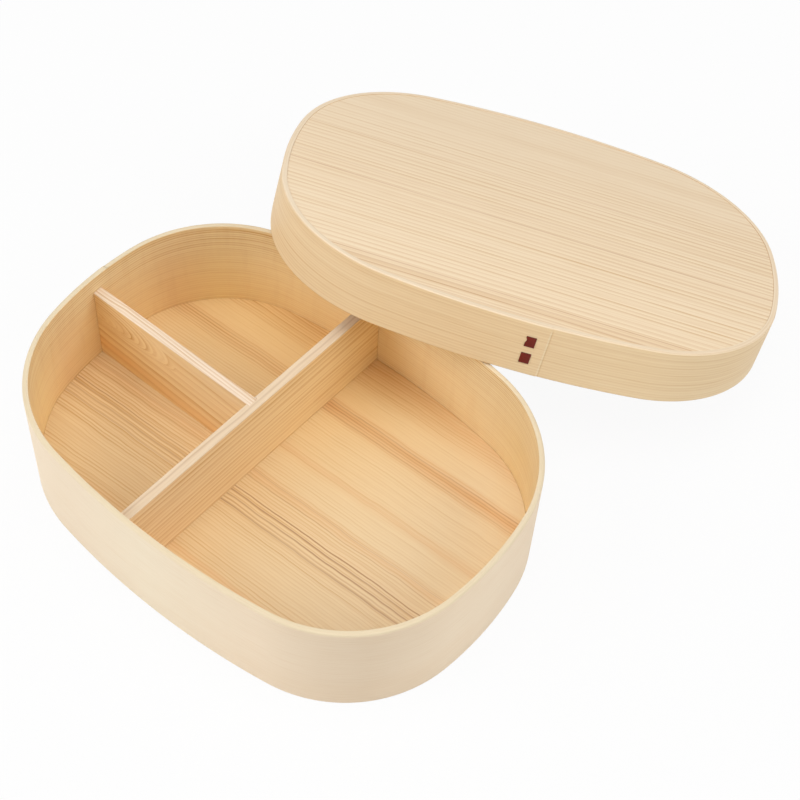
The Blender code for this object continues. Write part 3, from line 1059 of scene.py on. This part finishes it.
def barkFinish(name, place=None):
    finish = Finish(name, roughnessOf["bark"])
    x, y, z = finish.axes(place)
    cut, _ = finish.mapped("cut")
    level = bark["streaksAlong"]
    streak = finish.noise(x * level, y * level, z * bark["streaksUp"], detail=3.0)
    mottle = finish.noise(*(axis * bark["mottles"] for axis in (x, y, z)))
    streaked = (streak * bark["streakShare"] + bark["streakLeast"]).clamped()
    color = finish.mixed(streaked, bark["face"], bark["streak"])
    color = finish.mixed((mottle * bark["mottleShare"]).clamped(), color, bark["mottle"])
    color = finish.mixed(cut * bark["edgeShare"], color, bark["edge"])
    finish.paint(color)
    finish.shader.inputs["Specular IOR Level"].default_value = bark["gloss"]
    finish.bump(streak, bark["relief"])
    return finish.material


asPiece(
    "box_bark_lace_sewn", laceMesh(boxLace, boxLap), None,
    "box_bark_lace", "box", barkFinish("box_bark"),
)
asPiece(
    "lid_bark_lace_sewn", laceMesh(lidLace, lidLap), lidPlace,
    "lid_bark_lace", "lid", barkFinish("lid_bark", lidPlace),
)
print("laces made")

# Floor, sky and lamps

light = {
    "sky": 0.366,
    "floor": 0.80,
    "floorGlow": 0.93,
    "floorSize": 4.0,
    "lamps": {
        # degrees round and up, distance and width in metres, watts
        "front": (234.0, 36.0, 1.3, 0.9, 6.55),
        "right": (20.0, 40.0, 1.3, 0.9, 4.85),
        "top": (300.0, 84.0, 1.3, 0.9, 5.5),
    },
}


def makeFloor():
    bm = bmesh.new()
    bmesh.ops.create_grid(bm, x_segments=1, y_segments=1, size=light["floorSize"])
    mesh = bpy.data.meshes.new("floor")
    bm.to_mesh(mesh)
    bm.free()
    # The floor glows for the eye alone, so it shows white and still takes the light and shadow
    finish = Finish("floor_paper", roughnessOf["paper"])
    finish.paint([light["floor"]] * 3)
    finish.shader.inputs["Specular IOR Level"].default_value = 0.0
    rays = finish.add("ShaderNodeLightPath")
    seen = Amount(finish, rays.outputs["Is Camera Ray"]) + Amount(finish, rays.outputs["Is Glossy Ray"])
    glow = finish.add("ShaderNodeEmission", None, {"Color": (1.0, 1.0, 1.0), "Strength": 1.0})
    blend = finish.add("ShaderNodeMixShader", None, {
        0: (seen + Amount(finish, rays.outputs["Is Transmission Ray"])).clamped() * light["floorGlow"],
        1: finish.shader.outputs[0], 2: glow.outputs[0],
    })
    finish.feed(finish.tree.nodes["Material Output"].inputs["Surface"], blend.outputs[0])
    mesh.materials.append(finish.material)
    floor = bpy.data.objects.new("floor", mesh)
    bpy.context.scene.collection.objects.link(floor)


def makeSky():
    # White behind the object, and soft light on it
    world = bpy.data.worlds.new("sky")
    bpy.context.scene.world = world
    world.use_nodes = True
    tree = world.node_tree
    back = tree.nodes["Background"]
    back.inputs["Color"].default_value = (1.0, 1.0, 1.0, 1.0)
    rays = tree.nodes.new("ShaderNodeLightPath")
    level = None
    for kind in ("Is Camera Ray", "Is Glossy Ray", "Is Transmission Ray"):
        seen = tree.nodes.new("ShaderNodeMath")
        seen.operation = "MULTIPLY_ADD"
        seen.inputs[1].default_value = 1.0 - light["sky"]
        seen.inputs[2].default_value = light["sky"]
        tree.links.new(rays.outputs[kind], seen.inputs[0])
        if level is not None:
            tree.links.new(level, seen.inputs[2])
        level = seen.outputs[0]
    tree.links.new(level, back.inputs["Strength"])


def makeLamps():
    for name, (azimuth, elevation, distance, width, watts) in light["lamps"].items():
        way = wayTo(azimuth, elevation)
        lamp = bpy.data.lights.new(name + "_lamp", "AREA")
        lamp.shape = "DISK"
        lamp.size = width
        lamp.energy = watts
        made = bpy.data.objects.new(name + "_lamp", lamp)
        turned = way.to_track_quat("Z", "Y").to_matrix().to_4x4()
        made.matrix_world = Matrix.Translation(way * distance) @ turned
        bpy.context.scene.collection.objects.link(made)


makeFloor()
makeSky()
makeLamps()
bpy.context.scene.view_settings.view_transform = "Standard"
print("floor, sky and lamps made")
